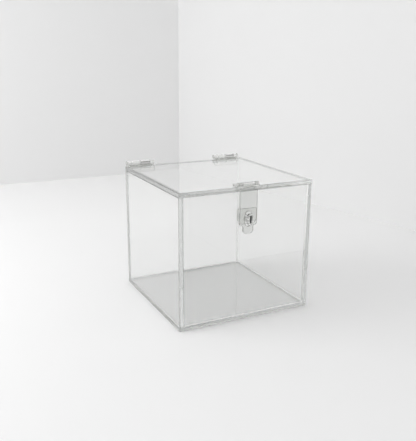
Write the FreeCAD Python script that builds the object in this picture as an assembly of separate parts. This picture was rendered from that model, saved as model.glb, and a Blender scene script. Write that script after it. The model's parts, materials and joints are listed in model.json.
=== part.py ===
import FreeCAD, Part
import os

# Clear acrylic donation box: five bonded panels, an overlaid lid on two moulded hinges,
# and a moulded hasp with a slotted strap over a turn knob.
# Millimetres, +Z up, front face towards -Y. The origin is the centre of the base's underside.

V = FreeCAD.Vector
X_AXIS = V(1, 0, 0)
Y_AXIS = V(0, 1, 0)
TOLERANCE = 1e-4
# How far a cutting solid runs past the face it opens.
CUT_MARGIN = 1.0

# ---------------------------------------------------------------- box and lid
box_width = 200.0
box_depth = 200.0
box_height = 186.0
sheet = 6.0
edge_polish = 0.4
bond_line = 0.05
lid_rear_gap = 0.3
lid_seat_gap = 0.05

half_width = box_width / 2
half_depth = box_depth / 2
lid_underside = box_height - sheet
wall_foot = sheet + bond_line
wall_top = lid_underside - lid_seat_gap

# ---------------------------------------------------------------- rear hinges
hinge_length = 43.5
left_hinge_inset = 3.6
right_hinge_inset = 4.8
wall_leaf_reach = 18.8
lid_leaf_reach = 12.5
hinge_leaf_thickness = 2.5
hinge_axis_offset = 3.5
hinge_face_offset = hinge_axis_offset - bond_line
hinge_knuckle_radius = 3.75
hinge_end_knuckle = 6.75
hinge_knuckle_gap = 0.3
hinge_pin_radius = 1.5
hinge_corner_radius = 2.0
hinge_web_end = 1.2

hinge_axis_y = half_depth + hinge_axis_offset
hinge_axis_z = box_height + hinge_axis_offset
third_knuckle_end = hinge_length - hinge_end_knuckle - hinge_knuckle_gap / 2

# ---------------------------------------------------------------- hasp
hasp_x = -3.4
hasp_axis_y = -half_depth - 3.0
hasp_axis_z = box_height + 3.0
hasp_knuckle_radius = 3.5
hasp_pin_radius = 1.25
hasp_leaf_width = 31.0
hasp_leaf_reach = 12.0
hasp_leaf_thickness = 2.5
hasp_leaf_setback = 1.0
hasp_corner_radius = 2.5

strap_width = 26.0
strap_thickness = 3.0
strap_knuckle_length = 16.0
strap_knuckle_gap = 0.3
strap_top_gap = 0.8
strap_bottom_z = 124.0
shoulder_z = 135.0
tongue_width = 15.2
tongue_chamfer = 3.0
shoulder_radius = 3.5
shoulder_inner_radius = 2.0
strap_edge_radius = 0.6
strap_top_radius = 1.5
strap_neck_overlap = 2.0

lock_z = 144.0
slot_width = 9.5
slot_height = 20.5

plate_width = 28.0
plate_thickness = 3.0
plate_bottom_z = 136.5
plate_top_z = 157.5
plate_bottom_chamfer = 5.0
plate_top_radius = 2.0
plate_edge_radius = 0.5

stem_radius = 2.5
neck_radius = 3.8
knob_width = 8.0
knob_height = 16.0
knob_thickness = 5.0
knob_strap_gap = 0.7
knob_plate_gap = 0.15
knob_edge_radius = 1.2

ring_radius = 4.4
ring_thickness = 1.1
ring_gap = 0.15
recess_radius = 5.0

keyway_radius = 1.8
keyway_stem_width = 2.0
keyway_top_z = 149.6
keyway_bottom_z = 139.4
keyway_depth = 1.0
keyway_wall = 0.5
keyway_floor = 0.5

running_clearance = 0.05

# Faces of the hasp's layers in front of the front wall, and the top of the strap's wide part.
wall_face_y = -half_depth
plate_back_y = wall_face_y - bond_line
plate_front_y = plate_back_y - plate_thickness
strap_front_y = hasp_axis_y - hasp_knuckle_radius
strap_back_y = strap_front_y + strap_thickness
strap_top_z = hasp_axis_z - hasp_knuckle_radius - strap_top_gap
neck_back_y = plate_front_y - knob_plate_gap
knob_back_y = strap_front_y - knob_strap_gap
knob_front_y = knob_back_y - knob_thickness
ring_back_y = plate_back_y - ring_gap
ring_front_y = ring_back_y - ring_thickness
recess_floor_y = ring_front_y - ring_gap


# ---------------------------------------------------------------- helpers
def block(x0, x1, y0, y1, z0, z1):
    return Part.makeBox(x1 - x0, y1 - y0, z1 - z0, V(x0, y0, z0))


def rod_x(radius, x0, x1, y, z):
    return Part.makeCylinder(radius, x1 - x0, V(x0, y, z), X_AXIS)


def rod_y(radius, x, z, y0, y1):
    return Part.makeCylinder(radius, y1 - y0, V(x, y0, z), Y_AXIS)


def near(a, b):
    return abs(a - b) < TOLERANCE


def straight_along(edge, axis):
    """True for a straight edge parallel to the axis given as 'x', 'y' or 'z'."""
    if not isinstance(edge.Curve, Part.Line):
        return False
    direction = edge.Curve.Direction
    return near(abs(getattr(direction, axis)), 1.0)


def edges_where(shape, test):
    return [edge for edge in shape.Edges if test(edge, edge.CenterOfMass)]


def stadium_y(x, z, width, height, y0, y1):
    """Upright slot shape with round ends, extruded along Y."""
    radius = width / 2
    half_run = height / 2 - radius
    middle = block(x - radius, x + radius, y0, y1, z - half_run, z + half_run)
    top = rod_y(radius, x, z + half_run, y0, y1)
    bottom = rod_y(radius, x, z - half_run, y0, y1)
    return middle.fuse([top, bottom]).removeSplitter()


def keyhole_y(inset, y0, y1):
    """Keyhole prism: a round head over a straight stem, shrunk on all sides by the inset."""
    head_z = keyway_top_z - keyway_radius
    half_stem = keyway_stem_width / 2 - inset
    head = rod_y(keyway_radius - inset, hasp_x, head_z, y0, y1)
    stem = block(hasp_x - half_stem, hasp_x + half_stem, y0, y1, keyway_bottom_z + inset, head_z)
    return head.fuse(stem).removeSplitter()


def export(shape, node):
    if not shape.isValid():
        raise ValueError(node + " is not a valid solid")
    shape.exportStep("parts/" + node + ".step")


# ---------------------------------------------------------------- panels
def base_panel():
    """Full-footprint sheet that the four walls stand on."""
    panel = block(-half_width, half_width, -half_depth, half_depth, 0, sheet)
    polished = edges_where(panel, lambda e, c: near(c.z, 0) or straight_along(e, "z"))
    return panel.makeChamfer(edge_polish, polished)


def side_panel(side):
    """Full-depth side wall; side is -1 for the left and +1 for the right."""
    outer = side * half_width
    inner = side * (half_width - sheet)
    panel = block(min(outer, inner), max(outer, inner), -half_depth, half_depth, wall_foot, wall_top)

    def exposed(edge, centre):
        if not near(centre.x, outer):
            return False
        return straight_along(edge, "z") or near(centre.z, wall_top)

    return panel.makeChamfer(edge_polish, edges_where(panel, exposed))


def end_panel(side):
    """Wall between the two side walls; side is -1 for the front and +1 for the rear."""
    outer = side * half_depth
    inner = side * (half_depth - sheet)
    reach = half_width - sheet - bond_line
    panel = block(-reach, reach, min(outer, inner), max(outer, inner), wall_foot, wall_top)
    top_arris = edges_where(panel, lambda e, c: near(c.y, outer) and near(c.z, wall_top))
    return panel.makeChamfer(edge_polish, top_arris)


def lid_panel():
    """Full-footprint sheet laid over the walls, a hair short at the rear to clear the hinge leaves."""
    panel = block(-half_width, half_width, -half_depth, half_depth - lid_rear_gap, lid_underside, box_height)
    return panel.makeChamfer(edge_polish, panel.Edges)


# ---------------------------------------------------------------- hinges
def hinge_leaf(plate_end, reach, bore_radius):
    """One leaf as if lying on the lid, its hinge axis along X through the local origin.

    Its own knuckles fill the first and third stretches of the barrel.
    """
    middle = hinge_length / 2
    face = -hinge_face_offset
    top = face + hinge_leaf_thickness
    trim = hinge_knuckle_gap / 2
    notch = hinge_knuckle_radius + hinge_knuckle_gap
    own = [
        (0, hinge_end_knuckle - trim),
        (middle + trim, third_knuckle_end),
    ]
    plate = block(0, plate_end, -reach, -notch - trim, face, top)

    def outer_corner(edge, centre):
        return straight_along(edge, "z") and near(centre.y, -reach)

    plate = plate.makeFillet(hinge_corner_radius, edges_where(plate, outer_corner))
    pieces = []
    for start, end in own:
        pieces.append(block(start, end, -notch - trim, -hinge_web_end, face, top))
        pieces.append(rod_x(hinge_knuckle_radius, start, end, 0, 0))
    leaf = plate.fuse(pieces)
    bore = rod_x(bore_radius, -CUT_MARGIN, hinge_length + CUT_MARGIN, 0, 0)
    return leaf.cut(bore).removeSplitter()


def place_hinge_part(shape, start_x):
    placed = shape.copy()
    placed.translate(V(start_x, hinge_axis_y, hinge_axis_z))
    return placed


def lid_leaf(start_x):
    """Short leaf on the lid, ending level with its second knuckle."""
    bore_radius = hinge_pin_radius + running_clearance
    return place_hinge_part(hinge_leaf(third_knuckle_end, lid_leaf_reach, bore_radius), start_x)


def wall_leaf(start_x):
    """Full-width leaf turned half round to hang down the rear wall, with the other two knuckles."""
    leaf = hinge_leaf(hinge_length, wall_leaf_reach, hinge_pin_radius)
    leaf.rotate(V(hinge_length / 2, 0, 0), V(0, 1, 1), 180)
    return place_hinge_part(leaf, start_x)


def hinge_pin(start_x):
    pin = rod_x(hinge_pin_radius, 0, hinge_length, 0, 0)
    rims = edges_where(pin, lambda e, c: isinstance(e.Curve, Part.Circle))
    return place_hinge_part(pin.makeChamfer(edge_polish, rims), start_x)


# ---------------------------------------------------------------- hasp
def hasp_lid_leaf():
    """Leaf on the lid's front edge with a knuckle on each side of the strap's own."""
    left = hasp_x - hasp_leaf_width / 2
    right = hasp_x + hasp_leaf_width / 2
    back_y = wall_face_y + hasp_leaf_reach
    front_y = wall_face_y + hasp_leaf_setback
    face_z = box_height + bond_line
    top_z = face_z + hasp_leaf_thickness
    plate = block(left, right, front_y, back_y, face_z, top_z)

    def rear_corner(edge, centre):
        return straight_along(edge, "z") and near(centre.y, back_y)

    plate = plate.makeFillet(hasp_corner_radius, edges_where(plate, rear_corner))
    gap_half = strap_knuckle_length / 2 + strap_knuckle_gap
    pieces = []
    for start, end in [(left, hasp_x - gap_half), (hasp_x + gap_half, right)]:
        pieces.append(block(start, end, hasp_axis_y, front_y, face_z, top_z))
        pieces.append(rod_x(hasp_knuckle_radius, start, end, hasp_axis_y, hasp_axis_z))
    leaf = plate.fuse(pieces)
    bore = rod_x(hasp_pin_radius, left - CUT_MARGIN, right + CUT_MARGIN, hasp_axis_y, hasp_axis_z)
    return leaf.cut(bore).removeSplitter()


def hasp_pin():
    half_length = hasp_leaf_width / 2
    pin = rod_x(hasp_pin_radius, hasp_x - half_length, hasp_x + half_length, hasp_axis_y, hasp_axis_z)
    rims = edges_where(pin, lambda e, c: isinstance(e.Curve, Part.Circle))
    return pin.makeChamfer(edge_polish, rims)


def hasp_strap():
    """Slotted strap below a narrow knuckle, stepping in at the shoulders to a finger tongue."""
    half = strap_width / 2
    half_tongue = tongue_width / 2
    half_knuckle = strap_knuckle_length / 2
    upper = block(hasp_x - half, hasp_x + half, strap_front_y, strap_back_y, shoulder_z, strap_top_z)
    tongue = block(
        hasp_x - half_tongue, hasp_x + half_tongue, strap_front_y, strap_back_y, strap_bottom_z, shoulder_z
    )
    strap = upper.fuse(tongue).removeSplitter()

    def corner(half_span, level):
        def test(edge, centre):
            aligned = straight_along(edge, "y") and near(centre.z, level)
            return aligned and near(abs(centre.x - hasp_x), half_span)
        return test

    strap = strap.makeFillet(shoulder_radius, edges_where(strap, corner(half, shoulder_z)))
    strap = strap.makeFillet(shoulder_inner_radius, edges_where(strap, corner(half_tongue, shoulder_z)))
    strap = strap.makeFillet(strap_top_radius, edges_where(strap, corner(half, strap_top_z)))
    strap = strap.makeChamfer(tongue_chamfer, edges_where(strap, corner(half_tongue, strap_bottom_z)))
    front_outline = edges_where(strap, lambda e, c: near(c.y, strap_front_y))
    strap = strap.makeFillet(strap_edge_radius, front_outline)
    neck_foot_z = strap_top_z - strap_neck_overlap
    neck = block(
        hasp_x - half_knuckle, hasp_x + half_knuckle, strap_front_y, strap_back_y, neck_foot_z, hasp_axis_z
    )
    knuckle = rod_x(
        hasp_knuckle_radius, hasp_x - half_knuckle, hasp_x + half_knuckle, hasp_axis_y, hasp_axis_z
    )
    bore_radius = hasp_pin_radius + running_clearance
    bore = rod_x(bore_radius, hasp_x - half, hasp_x + half, hasp_axis_y, hasp_axis_z)
    slot_front_y = strap_front_y - CUT_MARGIN
    slot_back_y = strap_back_y + CUT_MARGIN
    slot = stadium_y(hasp_x, lock_z, slot_width, slot_height, slot_front_y, slot_back_y)
    return strap.fuse([neck, knuckle]).cut([bore, slot]).removeSplitter()


def hasp_base_plate():
    """Plate on the front wall, bored for the knob's stem and recessed behind for its ring."""
    half = plate_width / 2
    plate = block(hasp_x - half, hasp_x + half, plate_front_y, plate_back_y, plate_bottom_z, plate_top_z)

    def corner(level):
        return lambda e, c: straight_along(e, "y") and near(c.z, level)

    plate = plate.makeChamfer(plate_bottom_chamfer, edges_where(plate, corner(plate_bottom_z)))
    plate = plate.makeFillet(plate_top_radius, edges_where(plate, corner(plate_top_z)))
    rim = edges_where(plate, lambda e, c: near(c.y, plate_front_y))
    plate = plate.makeFillet(plate_edge_radius, rim)
    hole_radius = stem_radius + running_clearance
    cut_end_y = wall_face_y + CUT_MARGIN
    hole = rod_y(hole_radius, hasp_x, lock_z, plate_front_y - CUT_MARGIN, cut_end_y)
    recess = rod_y(recess_radius, hasp_x, lock_z, recess_floor_y, cut_end_y)
    return plate.cut([hole, recess])


def hasp_turn_knob():
    """Oblong knob on a round neck, with a stem that turns in the base plate."""
    stem = rod_y(stem_radius, hasp_x, lock_z, neck_back_y, ring_back_y)
    neck = rod_y(neck_radius, hasp_x, lock_z, knob_back_y, neck_back_y)
    head = stadium_y(hasp_x, lock_z, knob_width, knob_height, knob_front_y, knob_back_y)
    rim = edges_where(head, lambda e, c: near(c.y, knob_front_y))
    head = head.makeFillet(knob_edge_radius, rim)
    pocket = keyhole_y(0, knob_front_y - CUT_MARGIN, knob_front_y + keyway_depth)
    return head.fuse([neck, stem]).cut(pocket).removeSplitter()


def knob_retaining_ring():
    ring = rod_y(ring_radius, hasp_x, lock_z, ring_front_y, ring_back_y)
    bore = rod_y(stem_radius, hasp_x, lock_z, ring_front_y - CUT_MARGIN, ring_back_y + CUT_MARGIN)
    return ring.cut(bore)


def keyway_insert():
    """Keyhole-shaped cup set in the knob's face."""
    cup = keyhole_y(0, knob_front_y, knob_front_y + keyway_depth)
    hollow_floor_y = knob_front_y + keyway_depth - keyway_floor
    hollow = keyhole_y(keyway_wall, knob_front_y - CUT_MARGIN, hollow_floor_y)
    return cup.cut(hollow)


# ---------------------------------------------------------------- assembly
os.makedirs("parts", exist_ok=True)

export(base_panel(), "base_panel")
export(end_panel(-1), "front_panel")
export(end_panel(1), "rear_panel")
export(side_panel(-1), "left_panel")
export(side_panel(1), "right_panel")
export(lid_panel(), "lid_panel")

hinge_starts = {
    "left": -half_width + left_hinge_inset,
    "right": half_width - right_hinge_inset - hinge_length,
}
for name, start in hinge_starts.items():
    export(wall_leaf(start), name + "_hinge_wall_leaf")
    export(lid_leaf(start), name + "_hinge_lid_leaf")
    export(hinge_pin(start), name + "_hinge_pin")

export(hasp_lid_leaf(), "hasp_lid_leaf")
export(hasp_pin(), "hasp_pin")
export(hasp_strap(), "hasp_strap")
export(hasp_base_plate(), "hasp_base_plate")
export(hasp_turn_knob(), "hasp_turn_knob")
export(knob_retaining_ring(), "knob_retaining_ring")
export(keyway_insert(), "keyway_insert")
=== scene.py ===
import bpy
import json
import math
from mathutils import Euler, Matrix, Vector


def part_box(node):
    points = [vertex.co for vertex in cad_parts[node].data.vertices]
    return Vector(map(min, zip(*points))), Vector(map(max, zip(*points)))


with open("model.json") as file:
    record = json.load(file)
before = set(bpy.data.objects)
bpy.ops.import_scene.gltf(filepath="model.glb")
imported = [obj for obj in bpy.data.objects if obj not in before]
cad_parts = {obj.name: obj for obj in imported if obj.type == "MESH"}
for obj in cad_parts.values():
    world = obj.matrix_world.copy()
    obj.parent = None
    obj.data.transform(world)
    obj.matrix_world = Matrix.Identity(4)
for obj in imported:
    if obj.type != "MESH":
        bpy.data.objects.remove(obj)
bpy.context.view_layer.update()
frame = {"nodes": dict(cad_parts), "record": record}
NODES = frame["nodes"]
MM = 0.001

# Dot products of the rounded and the true surface direction: on a flat, and at an edge.
FLAT_MATCH = 0.997
EDGE_MATCH = 0.93
BEVEL_SAMPLES = 6

# The range that a noise mostly stays in.
NOISE_LOW = 0.3
NOISE_HIGH = 0.7


# ---------------------------------------------------------------- node helpers
class Graph:
    """A short way to write a material's or world's nodes."""

    def __init__(self, tree):
        self.tree = tree
        tree.nodes.clear()

    def add(self, kind, inputs=None, **settings):
        node = self.tree.nodes.new(kind)
        for name, value in settings.items():
            setattr(node, name, value)
        for name, value in (inputs or {}).items():
            socket = node.inputs[name]
            if isinstance(value, bpy.types.NodeSocket):
                self.tree.links.new(value, socket)
            else:
                socket.default_value = value
        return node

    def math(self, operation, a, b=0.0, clamp=False):
        node = self.add("ShaderNodeMath", {0: a, 1: b}, operation=operation, use_clamp=clamp)
        return node.outputs[0]

    def remap(self, value, low, high, to_low, to_high):
        node = self.add(
            "ShaderNodeMapRange",
            {"Value": value, "From Min": low, "From Max": high, "To Min": to_low, "To Max": to_high},
        )
        return node.outputs[0]

    def noise(self, vector, scale, detail=2.0, roughness=0.5):
        node = self.add(
            "ShaderNodeTexNoise",
            {"Vector": vector, "Scale": scale, "Detail": detail, "Roughness": roughness},
        )
        return node.outputs["Fac"]

    def spread(self, noise, to_low, to_high):
        """Maps the range that a noise mostly stays in onto another."""
        return self.remap(noise, NOISE_LOW, NOISE_HIGH, to_low, to_high)

    def stretched(self, vector, scale):
        return self.add("ShaderNodeMapping", {"Vector": vector, "Scale": scale}).outputs[0]

    def mix_colour(self, factor, a, b):
        node = self.add("ShaderNodeMix", data_type="RGBA")
        self.tree.links.new(factor, node.inputs["Factor"])
        node.inputs["A"].default_value = (*a, 1)
        node.inputs["B"].default_value = (*b, 1)
        return node.outputs["Result"]

    def arris(self, width):
        """1 along a piece's edges, 0 elsewhere, from how far a rounded edge would turn the surface."""
        rounded = self.add("ShaderNodeBevel", {"Radius": width}, samples=BEVEL_SAMPLES).outputs[0]
        flat = self.add("ShaderNodeNewGeometry").outputs["Normal"]
        match = self.add("ShaderNodeVectorMath", {0: rounded, 1: flat}, operation="DOT_PRODUCT")
        return self.remap(match.outputs["Value"], FLAT_MATCH, EDGE_MATCH, 0.0, 1.0)

    def painted_shade(self, factor, a, b):
        """Blends a colour socket towards a fixed colour of painted shade."""
        node = self.add("ShaderNodeMix", data_type="RGBA")
        self.tree.links.new(factor, node.inputs["Factor"])
        self.tree.links.new(a, node.inputs["A"])
        node.inputs["B"].default_value = (*b, 1)
        return node.outputs["Result"]

    def bump(self, height, strength, distance):
        node = self.add("ShaderNodeBump", {"Height": height, "Strength": strength, "Distance": distance})
        return node.outputs[0]


def material_graph(name):
    material = bpy.data.materials.new(name)
    material.use_nodes = True
    return material, Graph(material.node_tree)


def finish_material(graph, shader, volume=None):
    out = graph.add("ShaderNodeOutputMaterial", {"Surface": shader})
    if volume is not None:
        graph.tree.links.new(volume, out.inputs["Volume"])


# ---------------------------------------------------------------- materials
ACRYLIC_IOR = 1.49
MOULDED_IOR = 1.53

# Absorption per metre is the density times one minus the colour.
SHEET_DENSITY = 2.5
SHEET_SMOKE = (0.50, 0.52, 0.50, 1)
MOULDED_DENSITY = 25.0
MOULDED_SMOKE = (0.80, 0.81, 0.79, 1)

# Where a sheet's face ends and its machined edge begins, and how dark the painted shade on the edge and
# its arrises is, in place of refraction's darkening there.
SHEET_FACE_END = 0.05 * MM
SHEET_EDGE_START = 0.3 * MM
SHEET_ARRIS = 0.9 * MM
SHEET_ARRIS_PAINTED_SHADE = (0.36, 0.37, 0.36)
EDGE_SHADE = 0.12

# Painted shade: how wide and dark the outlines along a moulding's edges are, and how much lighter they are
# on hinge barrels, in place of refraction's dark outlines.
MOULDED_ARRIS = 1.2 * MM
MOULDED_ARRIS_PAINTED_SHADE = (0.20, 0.20, 0.19)
OUTLINE_STRENGTH = 0.9
BARREL_FADE = 4.0 * MM
BARREL_OUTLINE = 0.35
# Painted light: the lighter clear colour that hinge barrels keep.
LIGHTER_CLEAR = (0.985, 0.987, 0.983)
# Painted shade on the hinge pins.
PIN_PAINTED_SHADE = (0.22, 0.22, 0.22)
# Greys per piece of the one moulded plastic, set to how dark each piece reads: painted shade.
STRAP_PAINTED_SHADE = (0.815, 0.82, 0.81)
PLATE_PAINTED_SHADE = (0.92, 0.925, 0.915)
LEAF_PAINTED_SHADE = (0.90, 0.904, 0.895)
KNOB_PAINTED_SHADE = (0.985, 0.987, 0.982)
KNOB_ARRIS = 0.5 * MM


def panel_gaps(g, place, node):
    """Distances to a flat panel's nearest side along X, Y and Z, in the panel's own frame."""
    low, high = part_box(node)
    here = g.add("ShaderNodeSeparateXYZ", {0: place})
    gaps = {}
    for i, axis in enumerate("XYZ"):
        below = g.math("SUBTRACT", here.outputs[axis], low[i])
        above = g.math("SUBTRACT", high[i], here.outputs[axis])
        gaps[axis] = g.math("MINIMUM", below, above)
    return gaps


def near_arris(g, gaps, width):
    """1 along the arrises of a flat panel, falling to 0 at the given distance from them."""
    # On the surface the smallest gap is nothing, so the middle one is the distance to an arris.
    smaller = g.math("MINIMUM", gaps["X"], gaps["Y"])
    larger = g.math("MAXIMUM", gaps["X"], gaps["Y"])
    middle = g.math("MAXIMUM", smaller, g.math("MINIMUM", larger, gaps["Z"]))
    return g.remap(middle, 0.0, width, 1.0, 0.0)


def sheet_acrylic(node, thin_axis):
    """Clear cast sheet. Its two faces are glossy; its machined edges are satin and finely sawn, and
    painted shade darkens them and the arrises.
    """
    material, g = material_graph(node + "_acrylic")
    place = g.add("ShaderNodeTexCoord").outputs["Object"]
    gaps = panel_gaps(g, place, node)
    edge = g.remap(gaps[thin_axis], SHEET_FACE_END, SHEET_EDGE_START, 0.0, 1.0)
    smears = g.noise(place, 14.0, 3.0)
    hairlines = g.noise(g.stretched(place, (900.0, 60.0, 900.0)), 1.0, 2.0, 0.7)
    saw_marks = g.noise(g.stretched(place, (500.0, 500.0, 40.0)), 1.0, 3.0, 0.6)
    face_rough = g.remap(smears, 0.35, 0.75, 0.0, 0.012)
    edge_rough = g.spread(saw_marks, 0.03, 0.06)
    roughness = g.math("ADD", face_rough, g.math("MULTIPLY", edge, edge_rough))
    sawn = g.math("MULTIPLY", g.math("MULTIPLY", edge, saw_marks), 0.06)
    relief = g.math("ADD", g.math("MULTIPLY", hairlines, 0.02), sawn)
    clear = g.mix_colour(smears, (0.984, 0.986, 0.984), (0.978, 0.980, 0.977))
    # Painted shade: dark lines along the arrises, broken by the saw marks, and a faint darkening of the
    # whole machined edge, in place of refraction's darkening.
    painted_arris_shade = g.math("MULTIPLY", near_arris(g, gaps, SHEET_ARRIS), g.spread(saw_marks, 0.6, 1.0))
    painted_shade_share = g.math("MAXIMUM", painted_arris_shade, g.math("MULTIPLY", edge, EDGE_SHADE))
    shader = g.add("ShaderNodeBsdfPrincipled", {
        "Base Color": g.painted_shade(painted_shade_share, clear, SHEET_ARRIS_PAINTED_SHADE),
        "Roughness": roughness,
        "IOR": ACRYLIC_IOR,
        "Transmission Weight": 1.0,
        "Normal": g.bump(relief, 0.04, 0.02 * MM),
    })
    absorb = g.add("ShaderNodeVolumeAbsorption", {"Color": SHEET_SMOKE, "Density": SHEET_DENSITY})
    finish_material(g, shader.outputs[0], absorb.outputs[0])
    return material


def outside_barrel(g, place, node, pin):
    """0 within a hinge's barrel, rising to 1 on its leaf, from the distance to the pin's centre line."""
    pin_low, pin_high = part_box(pin)
    centre = (pin_low + pin_high) / 2
    barrel_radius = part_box(node)[1].z - centre.z
    here = g.add("ShaderNodeSeparateXYZ", {0: place})
    back = g.math("SUBTRACT", here.outputs["Y"], centre.y)
    up = g.math("SUBTRACT", here.outputs["Z"], centre.z)
    squares = g.math("ADD", g.math("MULTIPLY", back, back), g.math("MULTIPLY", up, up))
    radius = g.math("SQRT", squares)
    return g.remap(radius, barrel_radius, barrel_radius + BARREL_FADE, 0.0, 1.0)


def moulded_clear(node, piece_painted_shade, arris_width, pin):
    """Injection-moulded clear plastic with faint flow lines. Painted shade greys each piece to its own
    level and darkens its edges; hinge barrels keep a lighter clear colour than their leaves, a painted
    lightening.
    """
    material, g = material_graph(node + "_plastic")
    place = g.add("ShaderNodeTexCoord").outputs["Object"]
    flow = g.noise(g.stretched(place, (90.0, 90.0, 260.0)), 1.0, 4.0, 0.6)
    grain = g.noise(place, 1500.0, 2.0)
    relief = g.math("ADD", flow, g.math("MULTIPLY", grain, 0.08))
    # Painted shade: dark outlines along the edges.
    painted_arris_shade = g.math("MULTIPLY", g.arris(arris_width), OUTLINE_STRENGTH)
    # Painted light and shade by place: leaves take their piece's painted grey, hinge barrels keep the
    # lighter clear colour; the flow lines vary the grey at random.
    greyer = g.spread(flow, 0.85, 1.0)
    if pin is not None:
        leaf = outside_barrel(g, place, node, pin)
        painted_arris_shade = g.math("MULTIPLY", painted_arris_shade, g.math("MAXIMUM", leaf, BARREL_OUTLINE))
        greyer = g.math("MULTIPLY", greyer, leaf)
    clear = g.mix_colour(greyer, LIGHTER_CLEAR, piece_painted_shade)
    shader = g.add("ShaderNodeBsdfPrincipled", {
        "Base Color": g.painted_shade(painted_arris_shade, clear, MOULDED_ARRIS_PAINTED_SHADE),
        "Roughness": g.spread(flow, 0.0, 0.015),
        "IOR": MOULDED_IOR,
        "Transmission Weight": 1.0,
        "Normal": g.bump(relief, 0.04, 0.05 * MM),
    })
    absorb = g.add("ShaderNodeVolumeAbsorption", {"Color": MOULDED_SMOKE, "Density": MOULDED_DENSITY})
    finish_material(g, shader.outputs[0], absorb.outputs[0])
    return material


def pin_clear():
    """Drawn rod with faint lengthwise lines, with painted shade on the top half of each hinge pin from its
    middle to the end of its lid leaf.
    """
    material, g = material_graph("drawn_clear_rod")
    place = g.add("ShaderNodeTexCoord").outputs["Object"]
    here = g.add("ShaderNodeSeparateXYZ", {0: place})
    across = here.outputs["X"]
    lines = g.noise(g.stretched(place, (20.0, 1800.0, 1800.0)), 1.0, 3.0, 0.6)
    # Painted shade: a dark band on the pin, in place of the dark band that refraction shows through the
    # knuckle.
    painted_pin_shade = None
    for side in ("left", "right"):
        pin_low, pin_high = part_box(side + "_hinge_pin")
        leaf_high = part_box(side + "_hinge_lid_leaf")[1]
        middle = (pin_low + pin_high) / 2
        past_middle = g.math("GREATER_THAN", across, middle.x)
        before_end = g.math("LESS_THAN", across, leaf_high.x)
        upper_half = g.math("GREATER_THAN", here.outputs["Z"], middle.z)
        inside = g.math("MULTIPLY", g.math("MULTIPLY", past_middle, before_end), upper_half)
        painted_pin_shade = inside if painted_pin_shade is None else g.math("MAXIMUM", painted_pin_shade, inside)
    clear = g.mix_colour(lines, (0.98, 0.982, 0.978), (0.95, 0.953, 0.947))
    shader = g.add("ShaderNodeBsdfPrincipled", {
        "Base Color": g.painted_shade(painted_pin_shade, clear, PIN_PAINTED_SHADE),
        "Roughness": g.spread(lines, 0.02, 0.12),
        "IOR": ACRYLIC_IOR,
        "Transmission Weight": 1.0,
        "Normal": g.bump(lines, 0.2, 0.02 * MM),
    })
    absorb = g.add("ShaderNodeVolumeAbsorption", {"Color": MOULDED_SMOKE, "Density": MOULDED_DENSITY})
    finish_material(g, shader.outputs[0], absorb.outputs[0])
    return material


def keyway_black():
    """Black moulded plastic, slightly mottled."""
    material, g = material_graph("keyway_black_plastic")
    place = g.add("ShaderNodeTexCoord").outputs["Object"]
    mottle = g.noise(place, 1200.0, 3.0)
    shader = g.add("ShaderNodeBsdfPrincipled", {
        "Base Color": g.mix_colour(mottle, (0.008, 0.008, 0.009), (0.03, 0.03, 0.032)),
        "Roughness": g.spread(mottle, 0.35, 0.55),
        "Normal": g.bump(mottle, 0.2, 0.05 * MM),
    })
    finish_material(g, shader.outputs[0])
    return material


def dress_nodes():
    flat = {
        "X": ["left_panel", "right_panel"],
        "Y": ["front_panel", "rear_panel"],
        "Z": ["base_panel", "lid_panel"],
    }
    for axis, names in flat.items():
        for node in names:
            NODES[node].material_slots[0].material = sheet_acrylic(node, axis)
    mouldings = {
        "hasp_strap": (STRAP_PAINTED_SHADE, MOULDED_ARRIS, "hasp_pin"),
        "hasp_lid_leaf": (LEAF_PAINTED_SHADE, MOULDED_ARRIS, "hasp_pin"),
        "hasp_base_plate": (PLATE_PAINTED_SHADE, MOULDED_ARRIS, None),
        "hasp_turn_knob": (KNOB_PAINTED_SHADE, KNOB_ARRIS, None),
    }
    for side in ("left", "right"):
        for leaf in ("_hinge_lid_leaf", "_hinge_wall_leaf"):
            mouldings[side + leaf] = (LEAF_PAINTED_SHADE, MOULDED_ARRIS, side + "_hinge_pin")
    for node, (painted_shade, arris_width, pin) in mouldings.items():
        NODES[node].material_slots[0].material = moulded_clear(node, painted_shade, arris_width, pin)
    by_slot = {"pin_clear": pin_clear(), "keyway_black": keyway_black()}
    for row in frame["record"]["subparts"]:
        if row["material_slot"] in by_slot:
            NODES[row["node"]].material_slots[0].material = by_slot[row["material_slot"]]


dress_nodes()


# ---------------------------------------------------------------- floor and walls
CORNER = Vector((0.36, 0.943, 0))
REAR_WALL_ALONG = Vector((-1, 0, 0))
SIDE_WALL_ALONG = Vector((0.200, -0.980, 0))
WALL_HEIGHT = 1.1
WALL_LENGTH = 3.0
FLOOR_REACH = 5.0
FLOOR_GAP = 0.15 * MM

# Painted shade: the side wall is set darker than the rear wall to even out how lit the two walls look.
REAR_SHADES = ((0.775, 0.775, 0.775), (0.81, 0.81, 0.81))
SIDE_SHADES = ((0.735, 0.735, 0.735), (0.77, 0.77, 0.77))
FLOOR_SHADES = ((0.86, 0.86, 0.86), (0.89, 0.89, 0.89))
WALL_ROUGHNESS = (0.5, 0.54)
FLOOR_ROUGHNESS = (0.22, 0.26)
WALL_SPECULAR = 0.2
FLOOR_SPECULAR = 0.4

# One-sided walls read which side of them a ray, and so the camera, comes from. With False they are
# ordinary walls, which hide the box from a camera outside the room.
WALLS_ONE_SIDED = True


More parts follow.
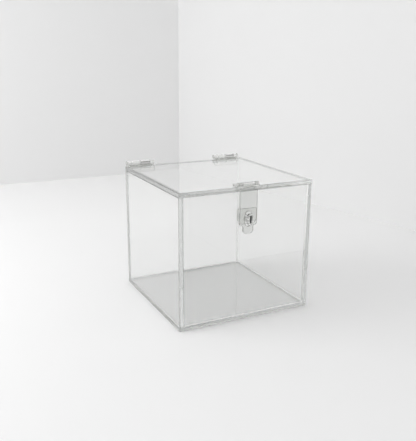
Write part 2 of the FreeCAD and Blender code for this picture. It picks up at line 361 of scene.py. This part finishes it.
def studio_material(name, shades, roughness, specular, one_sided):
    """Plain pale finish with faint clouding between two shades; one-sided, it is clear from behind."""
    material, g = material_graph(name)
    place = g.add("ShaderNodeTexCoord").outputs["Object"]
    cloud = g.noise(place, 0.9, 2.0)
    shader = g.add("ShaderNodeBsdfPrincipled", {
        "Base Color": g.mix_colour(cloud, *shades),
        "Roughness": g.spread(cloud, *roughness),
        "Specular IOR Level": specular,
    }).outputs[0]
    if one_sided:
        behind = g.add("ShaderNodeNewGeometry").outputs["Backfacing"]
        clear = g.add("ShaderNodeBsdfTransparent").outputs[0]
        shader = g.add("ShaderNodeMixShader", {0: behind, 1: shader, 2: clear}).outputs[0]
    finish_material(g, shader)
    return material


def flat_stage(name, corners, material):
    mesh = bpy.data.meshes.new(name)
    mesh.from_pydata([tuple(c) for c in corners], [], [(0, 1, 2, 3)])
    mesh.materials.append(material)
    plane = bpy.data.objects.new(name, mesh)
    bpy.context.scene.collection.objects.link(plane)


def add_room():
    """Pale floor and two plain walls meeting behind the box on its right."""
    rear_paint = studio_material("rear_paint", REAR_SHADES, WALL_ROUGHNESS, WALL_SPECULAR, WALLS_ONE_SIDED)
    side_paint = studio_material("side_paint", SIDE_SHADES, WALL_ROUGHNESS, WALL_SPECULAR, WALLS_ONE_SIDED)
    floor_paint = studio_material("floor_satin", FLOOR_SHADES, FLOOR_ROUGHNESS, FLOOR_SPECULAR, False)
    rise = Vector((0, 0, WALL_HEIGHT))
    foot = CORNER - Vector((0, 0, FLOOR_GAP))
    walls = [("rear_wall", REAR_WALL_ALONG, rear_paint), ("side_wall", SIDE_WALL_ALONG, side_paint)]
    for name, along, paint in walls:
        end = foot + along * WALL_LENGTH
        corners = [foot, end, end + rise, foot + rise]
        # The painted side faces the box.
        if along.cross(rise).dot(foot) > 0:
            corners.reverse()
        flat_stage(name, corners, paint)
    r = FLOOR_REACH
    ring = [(-r, -r, -FLOOR_GAP), (r, -r, -FLOOR_GAP), (r, r, -FLOOR_GAP), (-r, r, -FLOOR_GAP)]
    flat_stage("floor", ring, floor_paint)


# ---------------------------------------------------------------- camera and light
CAMERA_AZIMUTH = -26.6
CAMERA_PLACE = Vector((-0.3809, -0.7421, 0.3486))
CAMERA_TILT = 15.69
CAMERA_ROLL = 0.36
CAMERA_LENS = 47.93
SENSOR = 36.0

SKY_LEFT = 0.98
SKY_RIGHT = 0.62
SKY_LOW = 0.8

# Light trapped in a sheet takes dozens of internal reflections to cross it.
SHEET_BOUNCES = 96


def add_camera():
    data = bpy.data.cameras.new("camera")
    data.lens = CAMERA_LENS
    data.sensor_width = SENSOR
    data.clip_start = 0.01
    data.clip_end = 50.0
    camera = bpy.data.objects.new("camera", data)
    camera.location = CAMERA_PLACE
    aim = Euler((math.radians(90 - CAMERA_TILT), 0, math.radians(CAMERA_AZIMUTH))).to_matrix()
    camera.rotation_euler = (aim @ Euler((0, 0, math.radians(CAMERA_ROLL))).to_matrix()).to_euler()
    bpy.context.scene.collection.objects.link(camera)
    bpy.context.scene.camera = camera


def add_softbox(name, place, target, size, power):
    data = bpy.data.lights.new(name, "AREA")
    data.shape = "RECTANGLE"
    data.size, data.size_y = size
    data.energy = power
    light = bpy.data.objects.new(name, data)
    light.location = place
    light.rotation_euler = (Vector(target) - Vector(place)).to_track_quat("-Z", "Y").to_euler()
    bpy.context.scene.collection.objects.link(light)


def studio_world():
    """Even pale surroundings, a little brighter on the left and overhead."""
    world = bpy.data.worlds.new("studio")
    world.use_nodes = True
    bpy.context.scene.world = world
    g = Graph(world.node_tree)
    direction = g.add("ShaderNodeSeparateXYZ", {0: g.add("ShaderNodeTexCoord").outputs["Generated"]})
    across = g.remap(direction.outputs["X"], -1.0, 1.0, SKY_LEFT, SKY_RIGHT)
    height = g.remap(direction.outputs["Z"], 0.0, 0.8, SKY_LOW, 1.0)
    level = g.math("MULTIPLY", across, height)
    shade = g.add("ShaderNodeCombineColor", {0: level, 1: level, 2: level})
    background = g.add("ShaderNodeBackground", {"Color": shade.outputs[0], "Strength": 1.0})
    g.add("ShaderNodeOutputWorld", {"Surface": background.outputs[0]})


add_room()
add_camera()
add_softbox("left_softbox", place=(-1.1, 0.35, 0.7), target=(0.0, 0.3, 0.0), size=(0.9, 0.7), power=7.6)
add_softbox("front_softbox", place=(-0.6, -1.3, 1.3), target=(0.0, 0.0, 0.1), size=(0.5, 0.25), power=0.9)
studio_world()

scene = bpy.context.scene
scene.view_settings.view_transform = "Standard"
scene.cycles.max_bounces = SHEET_BOUNCES
scene.cycles.transmission_bounces = SHEET_BOUNCES
scene.cycles.glossy_bounces = SHEET_BOUNCES
scene.cycles.diffuse_bounces = 6
scene.cycles.transparent_max_bounces = 16
scene.cycles.caustics_refractive = True
scene.cycles.caustics_reflective = True
scene.cycles.blur_glossy = 0.2
